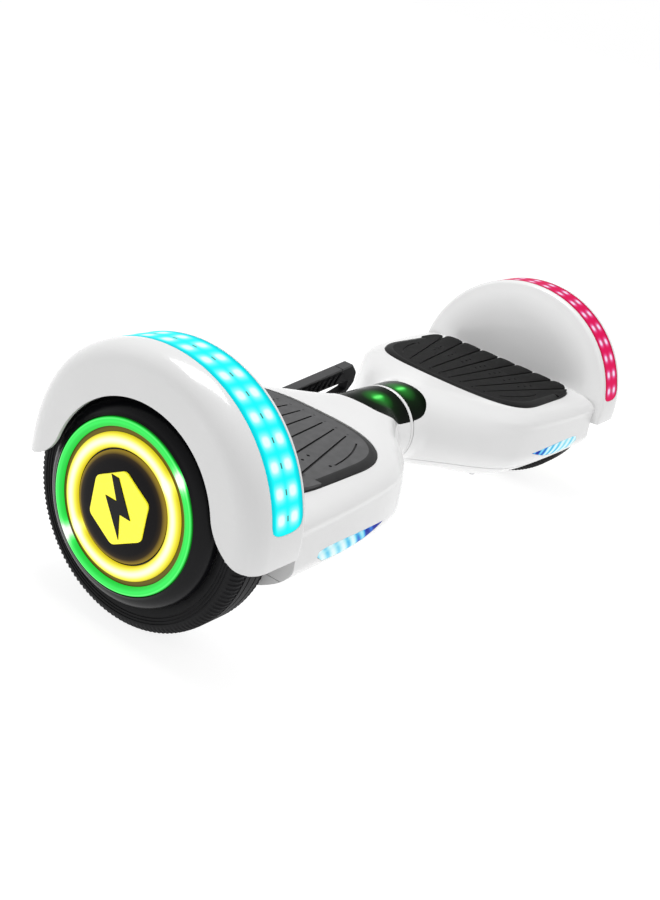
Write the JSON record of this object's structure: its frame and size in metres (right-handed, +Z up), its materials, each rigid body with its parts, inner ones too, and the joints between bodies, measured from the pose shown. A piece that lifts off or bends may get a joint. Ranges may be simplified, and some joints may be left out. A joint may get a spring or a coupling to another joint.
{
  "type": "self balancing hoverboard",
  "caption": "Two-wheeled self-balancing board: twin tilting shells on a centre pivot, lit arched fenders over hub-motor wheels, foot pads, headlights and a fold-down carry handle.",
  "frame": {"origin": "on the floor under the middle of the board, halfway between the wheels, at the middle of its bounding box", "axes": "+X along the common wheel axle towards the right wheel, -Y to the front with the headlights, +Z up"},
  "size_m": [0.568, 0.1976, 0.1833],
  "materials": {
    "white_gloss": "glossy white injection-moulded shell",
    "black_gloss": "glossy black plastic",
    "black_plastic": "satin black plastic",
    "grey_rubber": "matt dark grey rubber",
    "tyre_rubber": "solid black rubber tyre",
    "cyan_light": "lit cyan diffuser",
    "crimson_light": "lit crimson diffuser",
    "blue_light": "lit pale blue lamp lens",
    "green_light": "lit green ring",
    "yellow_light": "lit yellow ring",
    "smoked_lens": "smoked glossy lens with a green indicator behind it",
    "cast_aluminium": "as-cast aluminium",
    "steel": "turned steel",
    "copper_winding": "varnished copper windings on a laminated core",
    "magnet": "plated magnets in a steel back ring",
    "bronze": "sintered bronze bush",
    "circuit_board": "green circuit board",
    "battery_wrap": "blue shrink wrap round metal cells",
    "cable_jacket": "flexible black cable jacket"
  },
  "bodies": {
    "left_half": {"left_top_shell": "white_gloss", "left_bottom_shell": "white_gloss", "left_status_lens": "smoked_lens", "left_headlight": "blue_light", "left_fender_light": "cyan_light", "left_chassis": "cast_aluminium", "left_axle_clamp": "cast_aluminium", "left_gyro_board": "circuit_board", "left_axle": "steel", "left_stator": "copper_winding", "left_foot_switch_front": "black_plastic", "left_foot_switch_rear": "black_plastic", "pivot_tube": "steel", "pivot_spacer": "steel", "centre_ring": "white_gloss", "pivot_circlip": "steel", "main_board": "circuit_board", "speaker": "black_plastic", "battery_cable": "cable_jacket", "charge_port": "black_plastic", "handle_bracket": "black_plastic", "handle_pin": "steel"},
    "right_half": {"right_top_shell": "white_gloss", "right_bottom_shell": "white_gloss", "right_status_lens": "smoked_lens", "right_headlight": "blue_light", "right_fender_light": "crimson_light", "right_chassis": "cast_aluminium", "right_axle_clamp": "cast_aluminium", "right_gyro_board": "circuit_board", "right_axle": "steel", "right_stator": "copper_winding", "right_foot_switch_front": "black_plastic", "right_foot_switch_rear": "black_plastic", "pivot_bush": "bronze", "battery_pack": "battery_wrap"},
    "left_wheel": {"left_tyre": "tyre_rubber", "left_rim": "cast_aluminium", "left_magnet_ring": "magnet", "left_motor_cover": "cast_aluminium", "left_wheel_bearing": "steel", "left_hub_cap": "black_gloss", "left_green_ring": "green_light", "left_yellow_ring": "yellow_light", "left_emblem_disc": "black_gloss"},
    "right_wheel": {"right_tyre": "tyre_rubber", "right_rim": "cast_aluminium", "right_magnet_ring": "magnet", "right_motor_cover": "cast_aluminium", "right_wheel_bearing": "steel", "right_hub_cap": "black_gloss", "right_green_ring": "green_light", "right_yellow_ring": "yellow_light", "right_emblem_disc": "black_gloss"},
    "left_pad": {"left_foot_pad": "grey_rubber"},
    "right_pad": {"right_foot_pad": "grey_rubber"},
    "handle": {"carry_handle": "black_plastic"},
    "button": {"power_button": "black_gloss"},
    "cover": {"charge_cover": "grey_rubber"}
  },
  "joints": [
    {"name": "centre_twist", "type": "hinge", "parent": "left_half", "child": "right_half", "pos_m": [0, -0.004, 0.087], "axis": [1, 0, 0], "range_deg": [-20, 20]},
    {"name": "left_wheel_spin", "type": "hinge", "parent": "left_half", "child": "left_wheel", "pos_m": [-0.25, 0, 0.0825], "axis": [1, 0, 0], "continuous": true},
    {"name": "right_wheel_spin", "type": "hinge", "parent": "right_half", "child": "right_wheel", "pos_m": [0.25, 0, 0.0825], "axis": [1, 0, 0], "continuous": true},
    {"name": "left_pad_press", "type": "slide", "parent": "left_half", "child": "left_pad", "axis": [0.0272, 0, -0.9996], "range_m": [0, 0.0012], "stiffness_N_per_m": 20000},
    {"name": "right_pad_press", "type": "slide", "parent": "right_half", "child": "right_pad", "axis": [-0.0272, 0, -0.9996], "range_m": [0, 0.0012], "stiffness_N_per_m": 20000},
    {"name": "power_button_press", "type": "slide", "parent": "left_half", "child": "button", "axis": [0, -1, 0], "range_m": [0, 0.0012], "stiffness_N_per_m": 400},
    {"name": "charge_cover_hinge", "type": "hinge", "parent": "left_half", "child": "cover", "pos_m": [-0.16, 0.0938, 0.088], "axis": [1, 0, 0], "range_deg": [0, 110]},
    {"name": "handle_hinge", "type": "hinge", "parent": "left_half", "child": "handle", "pos_m": [0, 0.0485, 0.07], "axis": [1, 0, 0], "range_deg": [-90, 0]}
  ]
}
